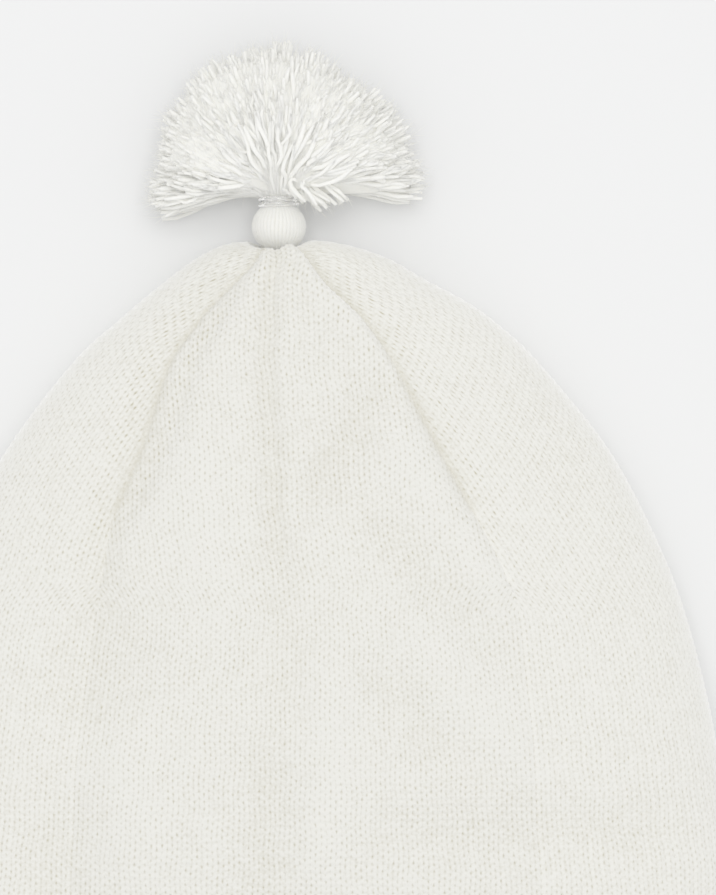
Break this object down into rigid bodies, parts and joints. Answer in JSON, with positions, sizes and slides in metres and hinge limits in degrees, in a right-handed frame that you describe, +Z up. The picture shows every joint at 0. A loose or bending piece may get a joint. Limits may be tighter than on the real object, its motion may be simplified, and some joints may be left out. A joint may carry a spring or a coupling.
{
  "type": "nightcap",
  "caption": "Fine-knit nightcap for a small child: a hollow dome-shaped knitted crown gathered at the tip, with a ball-headed tassel fanned out beyond it, lying on its back.",
  "frame": {"origin": "on the surface the cap lies on, under the middle of its whole length and width", "axes": "+X across the cap, to the right as its front is seen with the tassel at the top; +Y from the hem to the tassel; +Z up, out of the front"},
  "size_m": [0.1654, 0.2126, 0.0402],
  "materials": {
    "crown": "fine white stocking stitch, matt",
    "tassel_head": "white yarn wrapped over a ball, matt",
    "tassel_binding": "clear elastic thread, glossy",
    "tassel_skirt": "white two-ply twisted yarn, matt"
  },
  "bodies": {
    "root": {"crown": "crown", "tassel_head": "tassel_head", "tassel_binding": "tassel_binding", "tassel_skirt": "tassel_skirt"}
  },
  "joints": []
}
